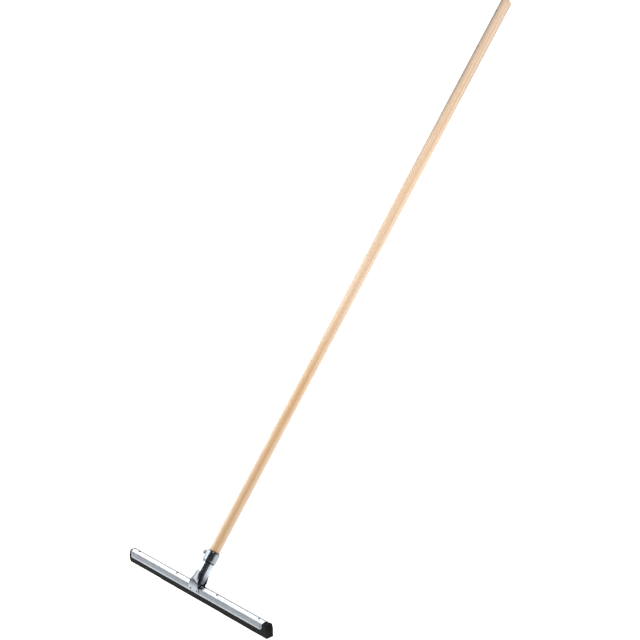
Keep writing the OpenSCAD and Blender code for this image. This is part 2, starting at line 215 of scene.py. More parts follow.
def mixed(tree, one, two, share):
    """Two values blended, with this share of the second."""
    node = tree.nodes.new("ShaderNodeMix")
    node.data_type = "FLOAT"
    node.inputs["Factor"].default_value = share
    tree.links.new(one, node.inputs[2])
    tree.links.new(two, node.inputs[3])
    return node.outputs[0]


def zinc_plate(name, streaks, dull, bright, rough, turn=(0, 0, 0), shift=(0, 0, 0), tones=()):
    """Bright zinc on steel: cloudy plating, with fine rolling or drawing lines along one way.

    tones holds (mm, share) stops that darken or lighten it along the turned Z, as painted shade and painted
    light."""
    finish, tree, shader, place = new_finish(name)
    clouds = noise_field(tree, mapped(tree, place, (70, 70, 70)), detail=5, rough=0.6)
    lines = noise_field(tree, mapped(tree, place, streaks, turn), detail=6, rough=0.65)
    tone = mixed(tree, clouds, lines, 0.55)
    colour = ramp(tree, tone, [(0.32, dull), (0.68, bright)])
    if tones:
        height = tree.nodes.new("ShaderNodeSeparateXYZ")
        tree.links.new(mapped(tree, place, (1, 1, 1), turn, shift), height.inputs[0])
        low, high = tones[0][0], tones[-1][0]
        stops = [((z - low) / (high - low), (share, share, share)) for z, share in tones]
        level = span(tree, height.outputs["Z"], low * MM, high * MM, 0.0, 1.0)
        colour = multiplied(tree, colour, ramp(tree, level, stops))
    tree.links.new(colour, shader.inputs["Base Color"])
    tree.links.new(span(tree, tone, 0.3, 0.7, rough[1], rough[0]), shader.inputs["Roughness"])
    tree.links.new(bump(tree, lines, depth_mm=0.03, strength=0.15), shader.inputs["Normal"])
    shader.inputs["Metallic"].default_value = 1.0
    return finish


def wall_reach(z):
    """Half length of the channel at height z, with its lower end corners rounded off."""
    rise = min(max(z - wall_low, 0), channel_corner_r)
    sunk = channel_corner_r - rise
    return channel_half - channel_corner_r + math.sqrt(channel_corner_r**2 - sunk**2)


def dimple_dent(x, y, z):
    """Depth of the punch mark that pins the lips, on both walls near the right end."""
    away = math.hypot(x - dimple_x, z - dimple_z) / dimple_r
    on_wall = abs(abs(y) - mid_wall_y) < 0.01
    if not on_wall or away >= 1:
        return 0
    return dimple_depth * (0.5 + 0.5 * math.cos(math.pi * away))


half_sheet = channel_sheet / 2
mid_wall_y = wall_y - half_sheet
mid_hem_y = hem_out_y - half_sheet
hem_turn_r = (mid_hem_y - mid_wall_y) / 2
hem_turn_z = wall_low + half_sheet + hem_turn_r
mid_ridge_z = ridge_z - half_sheet / math.cos(math.atan(roof_slope))
mid_fold_z = mid_ridge_z - mid_wall_y * roof_slope
hem_side = [(mid_hem_y, hem_top_z), (mid_hem_y, (hem_top_z + hem_turn_z) / 2)]
hem_side += [
    (
        mid_wall_y + hem_turn_r + hem_turn_r * math.cos(math.pi * i / arc_steps),
        hem_turn_z - hem_turn_r * math.sin(math.pi * i / arc_steps),
    )
    for i in range(arc_steps + 1)
]
wall_h = mid_fold_z - fold_drop - hem_turn_z
wall_side = [(mid_wall_y, hem_turn_z + wall_h * i / wall_steps) for i in range(1, wall_steps)]
fold_at, ridge_at, far_fold = (mid_wall_y, mid_fold_z), (0, mid_ridge_z), (-mid_wall_y, mid_fold_z)
fold_side = fillet((mid_wall_y, hem_turn_z), fold_at, ridge_at, fold_r, arc_steps)
roof_side = [(mid_wall_y * s, mid_ridge_z - mid_wall_y * s * roof_slope) for s in roof_shares]
ridge_arc = fillet(fold_at, ridge_at, far_fold, ridge_r, arc_steps)
rear_half = hem_side + wall_side + fold_side + roof_side
section = rear_half + ridge_arc + [(-y, z) for y, z in reversed(rear_half)]
ease_from = channel_half - end_run
columns = [ease_from * i / long_steps for i in range(-long_steps, long_steps + 1)]
end_columns = [ease_from + end_run * i / end_steps for i in range(1, end_steps + 1)]
columns = [-x for x in reversed(end_columns)] + columns + end_columns
channel_rows = []
for y, z in section:
    reach = wall_reach(z - half_sheet)
    row = []
    for x in columns:
        at = x
        if abs(x) > ease_from:
            at = math.copysign(ease_from + (abs(x) - ease_from) * (reach - ease_from) / end_run, x)
        row.append((at, y * (1 - dimple_dent(x, y, z) / wall_y), z))
    channel_rows.append(row)
channel = press_sheet(grid_piece("folded_channel", channel_rows), channel_sheet, sheared_edge)
# Painted light: its tones darken the walls and most of all the fold, as painted shade, and leave the hem
# and the ridge bright, as painted highlights.
rolled_zinc = zinc_plate(
    "rolled_zinc", streaks=(6, 900, 900), dull=(0.42, 0.453, 0.495), bright=(0.57, 0.61, 0.66),
    rough=(0.17, 0.30),
    tones=[
        (14.5, 0.86), (17.0, 0.88), (18.2, 0.44), (23.0, 0.44), (26.8, 0.38), (27.5, 0.26),
        (28.6, 0.38), (29.3, 0.55), (29.9, 0.95), (30.5, 1.0),
    ],
)
channel.data.materials.append(rolled_zinc)
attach(channel, "head")
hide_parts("channel")


# CORE STRIP
# A T-section strip that hangs under the roof between the two lips and stops them from pulling out.
# It is the channel's own plated steel and is hidden once the lips are in.
core_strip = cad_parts["core_strip"]
core_strip.data.materials.clear()
core_strip.data.materials.append(rolled_zinc)


# RIDGE RIVETS
# Solid steel rivets, driven down through the ridge and the core strip and headed over on top.
# They are zinc-plated too, but greyer and duller than the sheet.
rivet_head_r = 2.8
rivet_head_h = 1.9
rivet_skirt = 1.05
rivet_edge, rivet_flat_r = 0.25, 0.5
rivet_sides = 24
ridge_rivet_x = [-196.5, -65.5, 65.5, 196.5]


def turned(name, profile, sides, axis_point=(0, 0, 0), turn=(0, 0, 0)):
    """A lathe-turned piece from (radius, height) points in mm, put on its axis."""
    spin = Euler([math.radians(a) for a in turn]).to_matrix()
    seat = Vector(axis_point)
    rows = []
    for r, h in profile:
        ring = [2 * math.pi * k / sides for k in range(sides)]
        rows.append([seat + spin @ Vector((r * math.cos(a), r * math.sin(a), h)) for a in ring])
    piece = grid_piece(name, rows, closed=True)
    mesh = bmesh.new()
    mesh.from_mesh(piece.data)
    bmesh.ops.remove_doubles(mesh, verts=mesh.verts, dist=1e-7)
    bmesh.ops.holes_fill(mesh, edges=mesh.edges, sides=0)
    bmesh.ops.recalc_face_normals(mesh, faces=mesh.faces)
    mesh.to_mesh(piece.data)
    mesh.free()
    return piece


def domed(r, h, steps=8, flat=0.0):
    """Rounded (radius, height) points over the rim of a head, from its rim to its top."""
    arc = [math.pi / 2 * i / steps for i in range(steps + 1)]
    return [(flat + (r - flat) * math.cos(a), h * math.sin(a)) for a in arc]


def node_tree(name, inputs, output):
    """A geometry tree with named inputs and one geometry output, and its two end nodes."""
    tree = bpy.data.node_groups.new(name, "GeometryNodeTree")
    for label, kind in inputs:
        tree.interface.new_socket(label, in_out="INPUT", socket_type="NodeSocket" + kind)
    tree.interface.new_socket(output, in_out="OUTPUT", socket_type="NodeSocketGeometry")
    return tree, tree.nodes.new("NodeGroupInput"), tree.nodes.new("NodeGroupOutput")


def run_tree(piece, tree, values, smooth_deg):
    """Runs a geometry tree on a piece with its named inputs set, and keeps the plain mesh."""
    modifier = piece.modifiers.new(tree.name, "NODES")
    modifier.node_group = tree
    for item in tree.interface.items_tree:
        if item.name in values:
            modifier[item.identifier] = values[item.name]
    bake_modifiers(piece, smooth_deg)


def rivet_row(name, seats, rivet, finish):
    """One rivet on each seat, its top turned out along the seat's own direction."""
    data = bpy.data.meshes.new(name)
    data.from_pydata([Vector(at) * MM for at, out in seats], [], [])
    ways = data.attributes.new("out", "FLOAT_VECTOR", "POINT")
    ways.data.foreach_set("vector", [c for at, out in seats for c in out])
    piece = bpy.data.objects.new(name, data)
    bpy.context.scene.collection.objects.link(piece)
    run_tree(piece, rivet_tree, {"Rivet": rivet, "Finish": finish}, 60)
    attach(piece, "head")
    return piece


rivet_tree, rivet_in, rivet_out = node_tree(
    "rivets_on_seats", [("Seats", "Geometry"), ("Rivet", "Object"), ("Finish", "Material")], "Rivets"
)
rivet_shape = rivet_tree.nodes.new("GeometryNodeObjectInfo")
rivet_way = rivet_tree.nodes.new("GeometryNodeInputNamedAttribute")
rivet_way.data_type = "FLOAT_VECTOR"
rivet_way.inputs["Name"].default_value = "out"
rivet_turn = rivet_tree.nodes.new("FunctionNodeAlignRotationToVector")
rivet_turn.axis = "Z"
rivet_set = rivet_tree.nodes.new("GeometryNodeInstanceOnPoints")
rivet_real = rivet_tree.nodes.new("GeometryNodeRealizeInstances")
rivet_paint = rivet_tree.nodes.new("GeometryNodeSetMaterial")
join = rivet_tree.links.new
join(rivet_in.outputs["Rivet"], rivet_shape.inputs["Object"])
join(rivet_way.outputs["Attribute"], rivet_turn.inputs["Vector"])
join(rivet_in.outputs["Seats"], rivet_set.inputs["Points"])
join(rivet_shape.outputs["Geometry"], rivet_set.inputs["Instance"])
join(rivet_turn.outputs["Rotation"], rivet_set.inputs["Rotation"])
join(rivet_set.outputs["Instances"], rivet_real.inputs["Geometry"])
join(rivet_real.outputs["Geometry"], rivet_paint.inputs["Geometry"])
join(rivet_in.outputs["Finish"], rivet_paint.inputs["Material"])
join(rivet_paint.outputs["Geometry"], rivet_out.inputs["Rivets"])

hardware_zinc = zinc_plate(
    "hardware_zinc", streaks=(420, 420, 420), dull=(0.21, 0.23, 0.255), bright=(0.34, 0.365, 0.39),
    rough=(0.3, 0.46),
)
ridge_shape = [(0, -rivet_skirt), (rivet_head_r - rivet_edge, -rivet_skirt)]
ridge_shape += [(rivet_head_r, -rivet_skirt + rivet_edge)]
ridge_shape += domed(rivet_head_r, rivet_head_h, flat=rivet_flat_r) + [(0, rivet_head_h)]
ridge_rivet = turned("ridge_rivet_shape", ridge_shape, rivet_sides)
ridge_seats = [((x, 0, ridge_z), (0, 0, 1)) for x in ridge_rivet_x]
ridge_rivets = rivet_row("ridge_rivet_heads", ridge_seats, ridge_rivet, hardware_zinc)
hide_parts("ridge_rivets")
bpy.data.objects.remove(ridge_rivet)


# LIPS
# Two strips of black moss rubber, cut from sheet and pressed up into the channel on both sides of the core.
# The channel squeezes them, so they swell at its ends, and their working edge is a little uneven.
lip_from, lip_to = -221.0, 229.0
lip_grip_z = 14.4
lip_middle = Vector((4.3, 13.0))
end_rise = 0.6
right_stub_half = (lip_to - channel_half) / 2
slow_swell, slow_cell = 0.22, (17, 6)
fine_swell, fine_cell = 0.07, (4.2, 2.5)
end_bow, bow_cell = 0.3, (5, 7)
cut_waver, waver_cell = 0.16, 11
loose_run, loose_set_in = 6, 0.12
inner_face_y = 1.2
lift_run = 11
top_recess, top_from, top_run = 2.2, 16, 11
end_rounding = [(0, 0.8), (0.12, 0.4), (0.5, 0.08)]
lip_steps = 200
lip_wave = [
    (-221, 1.7), (-138, 1.9), (-124, 2.1), (-104, 0.9), (0, 0.8), (86, 0.75), (99, 0.15),
    (132, 0.3), (152, 0.35), (164, 0.0), (229, 0.0),
]
lip_ends = {-1: (-209.5, lip_from, 10.5), 1: (214.5, lip_to, 2.6)}


def lip_corners(part):
    """Corners (y, z, radius) of a lip's section, held in the channel or past its left or right end."""
    if part == "held":
        return [
            (0.05, 0, 0.25), (8.5, 0, 1.3), (8.5, 13.7, 0.5), (8.1, 14.5, 0.4), (8.1, 26.6, 0.9),
            (5.7, 27.5, 0.6), (0.66, 27.5, 0.3), (0.66, 17.4, 0.5),
        ]
    outer_z, top_z, top_r = (28.0, 29.8, 4.2) if part == "left" else (29.0, 29.4, 3.4)
    return [
        (0.15, 0, 0.25), (8.4, 0, 1.4), (8.55, 12.6, 3.0), (8.66, 15.4, 3.0), (8.5, outer_z, top_r),
        (3.4, top_z, 2.4), (0.2, top_z, 0.5), (0.5, 17.4, 2.0),
    ]


def lip_section(part):
    """Points round a lip's cross-section, as many for one as for the other."""
    corners = lip_corners(part)
    rounded = []
    for i, (y, z, r) in enumerate(corners):
        rounded.append(fillet(corners[i - 1][:2], (y, z), corners[(i + 1) % len(corners)][:2], r, 5))
    points = []
    for i, arc in enumerate(rounded):
        last, start = arc[-1], rounded[(i + 1) % len(rounded)][0]
        gaps = 7 if i in (1, 3, 7) else 2
        points += arc
        points += [
            (last[0] + (start[0] - last[0]) * k / gaps, last[1] + (start[1] - last[1]) * k / gaps)
            for k in range(1, gaps)
        ]
    return points


def eased(share):
    """A share from 0 to 1 with a soft start and end."""
    share = min(max(share, 0), 1)
    return share * share * (3 - 2 * share)


def lip_edge_lift(x, side):
    """How far the cut working edge stands off the floor at x, in mm."""
    lift = 0.0
    for (x0, h0), (x1, h1) in zip(lip_wave, lip_wave[1:]):
        if x0 <= side * -x <= x1:
            lift = h0 + (h1 - h0) * eased((side * -x - x0) / (x1 - x0))
    return max(0.0, lift + cut_waver * noise.noise(Vector((x / waver_cell, 9.1 * side, 2.2))))


def lip_end_at(x, z):
    """Where x falls when the lip's cut end is rounded off at its top and bottom."""
    root, end, low_r = lip_ends[-1 if x < 0 else 1]
    if abs(x) <= abs(root):
        return x
    cut = max(low_r - z, 0)
    recess = low_r - math.sqrt(max(low_r**2 - cut * cut, 0))
    recess += top_recess * eased((z - top_from) / top_run) ** 1.5
    return root + (x - root) * (abs(end - root) - recess) / abs(end - root)


def uneven(a, b, cell, seed):
    """A smooth random share from -1 to 1, with swells about as large as the cell in mm."""
    return noise.noise(Vector((a / cell[0], b / cell[1], seed)))


def lip_piece(name, side):
    """A lip as a run of cross-sections along the head, on the rear (1) or the front (-1)."""
    held, ends = lip_section("held"), {-1: lip_section("left"), 1: lip_section("right")}
    middle = lip_middle
    stations = [(lip_from + away, inset) for away, inset in end_rounding]
    inner = [lip_from + 1 + (lip_to - lip_from - 2) * i / lip_steps for i in range(lip_steps + 1)]
    stations += [(x, 0) for x in inner]
    stations += [(lip_to - away, inset) for away, inset in reversed(end_rounding)]
    rows = []
    for x, inset in stations:
        past = eased((abs(x) - channel_half + 0.5) / 3.0)
        lift = lip_edge_lift(x, side)
        row = []
        for (y0, z0), (y1, z1) in zip(held, ends[-1 if x < 0 else 1]):
            y, z = y0 + (y1 - y0) * past, z0 + (z1 - z0) * past
            y += inset * (-1 if y > middle.x else 1) * min(abs(y - middle.x) / 2, 1)
            z += inset * (-1 if z > middle.y else 1) * min(abs(z - middle.y) / 5, 1)
            if x > channel_half:
                tilt = (x - channel_half - right_stub_half) / right_stub_half
                z += end_rise * past * tilt * max(z - middle.y, 0) / middle.y
            loose = min(max((lip_grip_z - z) / loose_run, past * 0.6), 1)
            swell = uneven(x, z, slow_cell, 5.5 * side) * slow_swell
            swell += uneven(x, z, fine_cell, 1.5 * side) * fine_swell
            if y > inner_face_y:
                y += loose * swell - loose_set_in * loose
            z += lift * min(max(1 - z / lift_run, 0), 1)
            bow = uneven(y, z, bow_cell, 8.5 * side) * end_bow * past
            at = min(max(lip_end_at(x, z) + bow, lip_from), lip_to)
            row.append((at, side * y, max(z, 0)))
        rows.append(row)
    piece = grid_piece(name, rows, closed=True)
    mesh = bmesh.new()
    mesh.from_mesh(piece.data)
    rims = bmesh.ops.holes_fill(mesh, edges=mesh.edges, sides=0)
    bmesh.ops.triangulate(mesh, faces=rims["faces"])
    bmesh.ops.recalc_face_normals(mesh, faces=mesh.faces)
    mesh.to_mesh(piece.data)
    mesh.free()
    shade_smooth(piece.data, 40)
    return piece


moss_rubber, tree, shader, place = new_finish("moss_rubber")
skin = noise_field(tree, mapped(tree, place, (90, 130, 130)), detail=6, rough=0.6)
cells = tree.nodes.new("ShaderNodeTexVoronoi")
cells.inputs["Scale"].default_value = 850
tree.links.new(place, cells.inputs["Vector"])
pits = span(tree, cells.outputs["Distance"], 0.0, 0.55, 0.0, 1.0)
grain = noise_field(tree, mapped(tree, place, (2600, 2600, 2600)), detail=3, rough=0.6)
skin_black = ramp(
    tree, skin,
    [(0.3, (0.002, 0.002, 0.0022)), (0.55, (0.005, 0.0049, 0.0048)), (0.75, (0.013, 0.0124, 0.012))],
)
tree.links.new(skin_black, shader.inputs["Base Color"])
tree.links.new(span(tree, skin, 0.3, 0.7, 0.50, 0.74), shader.inputs["Roughness"])
pitted = bump(tree, pits, depth_mm=0.3, strength=0.6)
tree.links.new(bump(tree, grain, depth_mm=0.06, strength=0.6, under=pitted), shader.inputs["Normal"])
shader.inputs["Specular IOR Level"].default_value = 0.12
for node, side in (("front_lip", -1), ("rear_lip", 1)):
    lip = lip_piece(node + "_rubber", side)
    lip.data.materials.append(moss_rubber)
    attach(lip, "head")
    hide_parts(node)


# SOCKET TUBE
# A short length of drawn steel tube that takes the handle's end, slotted at its mouth on both sides.
# The slots let the clamp squeeze it. Its lower end is cut to two side tongues that rest on the roof
# and reach round behind the front foot, and it is plated with the rest of the head.
axis_z = 28.8
lean_deg = 51
lean = math.radians(lean_deg)
tube_mid_r = 12.75
tube_t, tube_edge = 1.2, 0.2
tube_low, tube_high = 14.0, 74.0
slot_half = 1.5
slot_low = 50.0
tongue_x, tongue_front_x = 11.8, 9.0
tongue_front_y = -8.0
tongue_z = ridge_z + 0.45
tongue_ease = 1.2


def on_axis(x, y, t):
    """A point beside the handle's axis: y is to the rear and down, t along the axis from its foot."""
    back = y * math.sin(lean) + t * math.cos(lean)
    up = axis_z - y * math.cos(lean) + t * math.sin(lean)
    return Vector((x, back, up))


slot_turn = math.degrees(math.asin(slot_half / tube_mid_r))
solid_arc, slot_arc = 52, 4
low_steps, slot_steps = 14, 8
angles = []
for start in (0, 180):
    angles += [start - slot_turn + 2 * slot_turn * k / slot_arc for k in range(slot_arc)]
    angles += [start + slot_turn + (180 - 2 * slot_turn) * k / solid_arc for k in range(solid_arc)]
heights = [tube_low + (slot_low - tube_low) * k / low_steps for k in range(low_steps)]
heights += [slot_low + (tube_high - slot_low) * k / slot_steps for k in range(slot_steps + 1)]
tube_rows = []
for t in heights:
    row = []
    for a in [math.radians(turn) for turn in angles]:
        x, y = tube_mid_r * math.cos(a), tube_mid_r * math.sin(a)
        rest = (tongue_z - axis_z + y * math.cos(lean)) / math.sin(lean)
        rest = max(rest, (tongue_front_y - y * math.sin(lean)) / math.cos(lean))
        side_x = tongue_front_x if y < 0 else tongue_x
        low = tube_low - (tube_low - rest) * eased((abs(x) - side_x + tongue_ease) / tongue_ease)
        down = max(slot_low - t, 0) / (slot_low - tube_low)
        row.append(on_axis(x, y, max(t, slot_low) - down * (slot_low - low)))
    tube_rows.append(row)
slots = {
    (i, j)
    for i in range(low_steps, len(heights))
    for j in range(len(angles))
    if j % (slot_arc + solid_arc) < slot_arc
}
tube_sheet = grid_piece("slotted_socket_tube", tube_rows, skip=slots, closed=True)
tube = press_sheet(tube_sheet, tube_t, tube_edge)
axis_turn = (90 - lean_deg, 0, 0)
axis_tip = math.radians(90 - lean_deg)
axis_shift = (0, axis_z * MM * math.sin(axis_tip), -axis_z * MM * math.cos(axis_tip))
# Painted light: its tones darken the tube's lower end, a band just under the clamp and its mouth, as
# painted shade, and lighten its middle, as painted light.
drawn_zinc = zinc_plate(
    "drawn_zinc", streaks=(500, 500, 14), dull=(0.34, 0.375, 0.42), bright=(0.45, 0.485, 0.53),
    rough=(0.20, 0.32), turn=axis_turn, shift=axis_shift,
    tones=[
        (2.0, 0.2), (12.0, 0.25), (19.0, 0.55), (25.0, 0.95), (31.0, 1.2), (47.0, 1.2),
        (49.5, 0.3), (52.0, 0.25), (71.0, 0.3), (74.0, 0.2),
    ],
)
tube.data.materials.append(drawn_zinc)
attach(tube, "head")
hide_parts("socket_tube")


# FEET
# Two pressed strips of sheet, one in front and one behind, spot-fixed round the tube's lower end.
# Each fans out from the tube's round to flat, slowly at first, and turns down over a wall of the channel.
foot_t, foot_edge = 1.2, 0.22
foot_top_half = 8.5
foot_low_half = 17.3
foot_r = 14.0
foot_lap = 13.0
foot_y = 9.65
foot_low = 17.3
foot_corner_r = 4.0
foot_ease = 0.385
foot_flare = 1.35
flat_share = 0.9
lap_steps, bend_steps, plate_steps, half_columns = 8, 24, 14, 18
turn_z = {-1: fold_z + 4.0, 1: fold_z - 3.3}


def foot_stations(side):
    """Stations down a foot, each a point, a direction, a curvature across and a half width.

    It runs down the tube, then along a smooth bend c, then down the channel's wall."""
    along = Vector((math.cos(lean), math.sin(lean)))
    out = Vector((math.sin(lean), -math.cos(lean))) * side
    start = Vector((0, axis_z)) + tube_low * along + foot_r * out
    end = Vector((side * foot_y, turn_z[side]))
    pull = foot_ease * (end - start).length
    c = [start, start - pull * along, end + Vector((0, pull)), end]
    bend = (end - start).length
    plate = end.y - foot_low
    run = foot_lap + bend + plate
    places = []
    for k in range(lap_steps):
        s = k / lap_steps
        places.append((start + along * foot_lap * (1 - s), -along, foot_lap * s))
    for k in range(bend_steps + 1):
        s = k / bend_steps
        r = 1 - s
        at = c[0] * r**3 + c[1] * 3 * s * r**2 + c[2] * 3 * s * s * r + c[3] * s**3
        way = (c[1] - c[0]) * r**2 + (c[2] - c[1]) * 2 * s * r + (c[3] - c[2]) * s * s
        places.append((at, way.normalized(), foot_lap + bend * s))
    for k in range(1, plate_steps + 1):
        h = plate * (1 - k / plate_steps) ** 1.6
        places.append((Vector((end.x, foot_low + h)), Vector((0, -1)), run - h))
    stations = []
    for at, way, down in places:
        curve = (1 - eased(down / (foot_lap + flat_share * bend))) / foot_r
        full = foot_top_half + (foot_low_half - foot_top_half) * (down / run) ** foot_flare
        cut = max(foot_corner_r - (run - down), 0)
        top_cut = max(foot_corner_r - down, 0)
        half = full - 2 * foot_corner_r + math.sqrt(foot_corner_r**2 - cut * cut)
        stations.append((at, way, curve, half + math.sqrt(foot_corner_r**2 - top_cut * top_cut)))
    return stations


def foot_piece(name, side):
    """A foot as rows of points across it, in front (-1) or behind (1)."""
    rows = []
    for at, way, curve, half in foot_stations(side):
        out = Vector((-way.y, way.x)) * side
        row = []
        for j in range(2 * half_columns + 1):
            across = half * (j / half_columns - 1)
            turn = curve * across
            x = math.sin(turn) / curve if curve else across
            back = (1 - math.cos(turn)) / curve if curve else 0
            yz = at - out * back
            row.append((x, yz.x, yz.y))
        rows.append(row)
    return press_sheet(grid_piece(name, rows), foot_t, foot_edge)


# Painted shade: its tones darken the feet towards their tops, where they wrap round the tube.
pressed_zinc = zinc_plate(
    "pressed_zinc", streaks=(260, 260, 60), dull=(0.32, 0.35, 0.39), bright=(0.44, 0.475, 0.515),
    rough=(0.18, 0.32),
    tones=[(17.0, 1.0), (26.0, 0.95), (31.0, 0.72), (36.0, 0.5), (62.0, 0.5)],
)
for node, side in (("front_foot", -1), ("rear_foot", 1)):
    foot = foot_piece(node + "_pressing", side)
    foot.data.materials.append(pressed_zinc)
    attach(foot, "head")
    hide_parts(node)


# FOOT RIVETS
# Four more solid rivets, two through each foot and the wall behind it, headed over on the outside.
# They have the ridge rivets' shape and are as bright as the feet that they hold.
foot_rivet_x, foot_rivet_z, foot_face_y = 10.0, 20.3, 10.25
foot_rivet_rim, foot_rivet_sink = 0.15, 0.05
foot_shape = [(0, -foot_rivet_sink), (rivet_head_r - 0.2, -foot_rivet_sink)]
foot_shape += [(rivet_head_r, foot_rivet_rim)]
foot_dome = domed(rivet_head_r, rivet_head_h - foot_rivet_rim, flat=rivet_flat_r)
foot_shape += [(r, h + foot_rivet_rim) for r, h in foot_dome] + [(0, rivet_head_h)]
foot_rivet = turned("foot_rivet_shape", foot_shape, rivet_sides)
foot_seats = [
    ((x, side * foot_face_y, foot_rivet_z), (0, side, 0))
    for side in (-1, 1)
    for x in (-foot_rivet_x, foot_rivet_x)
]
foot_rivets = rivet_row("foot_rivet_heads", foot_seats, foot_rivet, pressed_zinc)
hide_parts("foot_rivets")
bpy.data.objects.remove(foot_rivet)


# CLAMP BAND
# A strip of sheet bent round the tube's mouth, with its two ends bent out side by side as ears.
# The bolt through the ears draws it tight, and it isn't fixed in any other way.
band_mid_r = 14.05
band_t, band_edge = 1.3, 0.25
band_low, band_high = 52.0, 73.0
ear_y = 2.65
ear_end = -25.5
ear_bend_r = 1.6
ear_corner = 2.0
ear_slope_from = -band_mid_r - 2.6
ear_slope = 8.5
ear_steps, ear_bend_steps, ring_steps, band_steps = 16, 8, 36, 8

bend_y = ear_y + ear_bend_r
bend_x = -math.sqrt((band_mid_r + ear_bend_r) ** 2 - bend_y**2)
bend_end = math.atan2(-bend_y, -bend_x)
ear_run = [ear_end + (bend_x - ear_end) * (k / ear_steps) ** 1.4 for k in range(ear_steps)]
strip = [(x, ear_y) for x in ear_run]
for k in range(ear_bend_steps + 1):
    a = -math.pi / 2 + (bend_end + math.pi / 2) * k / ear_bend_steps
    strip.append((bend_x + ear_bend_r * math.cos(a), bend_y + ear_bend_r * math.sin(a)))
ring_from = math.atan2(bend_y, bend_x)
ring = [ring_from * (1 - k / ring_steps) for k in range(1, ring_steps + 1)]
strip += [(band_mid_r * math.cos(a), band_mid_r * math.sin(a)) for a in ring]
strip += [(x, -y) for x, y in reversed(strip[:-1])]
band_rows = []
for x, y in strip:
    low, high = band_low, band_high
    if x < ear_slope_from:
        low += ear_slope * ((ear_slope_from - x) / (ear_slope_from - ear_end))
    near_end = max(ear_corner - (x - ear_end), 0)
    round_off = ear_corner - math.sqrt(max(ear_corner**2 - near_end**2, 0))
    low, high = low + round_off, high - round_off
    up_band = [low + (high - low) * k / band_steps for k in range(band_steps + 1)]
    band_rows.append([on_axis(x, y, t) for t in up_band])
band = press_sheet(grid_piece("clamp_band_strip", band_rows), band_t, band_edge)
band_zinc = zinc_plate(
    "band_zinc", streaks=(300, 300, 40), dull=(0.25, 0.28, 0.31), bright=(0.33, 0.365, 0.395),
    rough=(0.2, 0.32),
)
band.data.materials.append(band_zinc)
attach(band, "head")
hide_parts("clamp_band")


# CLAMP BOLT
# A round-headed steel bolt through both ears, with its head in front and its thread out behind.
# It is turned and rolled, then plated; the thread carries the wing nut.
bolt_x, bolt_t = -21.0, 66.0
bolt_seat = -3.3
bolt_end = 14.7
bolt_head_r, bolt_head_h = 4.3, 2.6
thread_root_r, thread_crest_r = 2.14, 2.48
thread_pitch = 0.8
thread_turns = 20
thread_stop = 0.5
bolt_sides = 40
bolt_head_rim, bolt_edge = 0.5, 0.2
bolt_tip_h, bolt_tip_in = 0.7, 0.6


def turn_to(way):
    """The turn, in degrees about X, Y and Z, that points a lathe-turned piece along a way."""
    return [math.degrees(a) for a in Vector((0, 0, 1)).rotation_difference(way).to_euler()]


bolt_point = on_axis(bolt_x, 0, bolt_t)
bolt_turn = turn_to(on_axis(0, 1, 0) - on_axis(0, 0, 0))
thread_tree, thread_in, thread_out = node_tree(
    "rolled_thread",
    [
        ("Shank", "Geometry"), ("Turns", "Float"), ("Pitch", "Float"), ("Root radius", "Float"),
        ("Depth", "Float"), ("Start", "Vector"), ("Turn", "Vector"), ("Finish", "Material"),
    ],
    "Bolt",
)
helix = thread_tree.nodes.new("GeometryNodeCurveSpiral")
helix.inputs["Resolution"].default_value = 28
rise = thread_tree.nodes.new("ShaderNodeMath")
rise.operation = "MULTIPLY"
upright = thread_tree.nodes.new("GeometryNodeSetCurveNormal")
upright.mode = "Z_UP"
ridge_form = thread_tree.nodes.new("GeometryNodeCurvePrimitiveCircle")
ridge_form.inputs["Resolution"].default_value = 4
wind = thread_tree.nodes.new("GeometryNodeCurveToMesh")
wind.inputs["Fill Caps"].default_value = True
carry = thread_tree.nodes.new("GeometryNodeTransform")
both = thread_tree.nodes.new("GeometryNodeJoinGeometry")
real = thread_tree.nodes.new("GeometryNodeRealizeInstances")
paint = thread_tree.nodes.new("GeometryNodeSetMaterial")
join = thread_tree.links.new
join(thread_in.outputs["Turns"], helix.inputs["Rotations"])
join(thread_in.outputs["Root radius"], helix.inputs["Start Radius"])
join(thread_in.outputs["Root radius"], helix.inputs["End Radius"])
join(thread_in.outputs["Turns"], rise.inputs[0])
join(thread_in.outputs["Pitch"], rise.inputs[1])
join(rise.outputs[0], helix.inputs["Height"])
join(helix.outputs["Curve"], upright.inputs["Curve"])
join(thread_in.outputs["Depth"], ridge_form.inputs["Radius"])
join(upright.outputs["Curve"], wind.inputs["Curve"])
join(ridge_form.outputs["Curve"], wind.inputs["Profile Curve"])
join(wind.outputs["Mesh"], carry.inputs["Geometry"])
join(thread_in.outputs["Start"], carry.inputs["Translation"])
join(thread_in.outputs["Turn"], carry.inputs["Rotation"])
join(thread_in.outputs["Shank"], both.inputs["Geometry"])
join(carry.outputs["Geometry"], both.inputs["Geometry"])
join(both.outputs["Geometry"], real.inputs["Geometry"])
join(real.outputs["Geometry"], paint.inputs["Geometry"])
join(thread_in.outputs["Finish"], paint.inputs["Material"])
join(paint.outputs["Geometry"], thread_out.inputs["Bolt"])

head_dome = domed(bolt_head_r, bolt_head_h - bolt_head_rim, 10)
bolt_profile = [(r, bolt_seat - bolt_head_rim - h) for r, h in reversed(head_dome)]
bolt_profile += [(bolt_head_r, bolt_seat - bolt_edge), (bolt_head_r - bolt_edge, bolt_seat)]
bolt_profile += [(thread_root_r, bolt_seat), (thread_root_r, bolt_end - bolt_tip_h)]
bolt_profile += [(thread_root_r - bolt_tip_in, bolt_end), (0, bolt_end)]
bolt = turned("clamp_bolt_threaded", bolt_profile, bolt_sides, bolt_point, bolt_turn)
thread_low = bolt_end - thread_stop - thread_pitch * thread_turns
thread_values = {
    "Turns": float(thread_turns),
    "Pitch": thread_pitch * MM,
    "Root radius": thread_root_r * MM,
    "Depth": (thread_crest_r - thread_root_r) * MM,
    "Start": on_axis(bolt_x, thread_low, bolt_t) * MM,
    "Turn": [math.radians(a) for a in bolt_turn],
    "Finish": hardware_zinc,
}
run_tree(bolt, thread_tree, thread_values, 35)
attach(bolt, "head")
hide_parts("clamp_bolt")


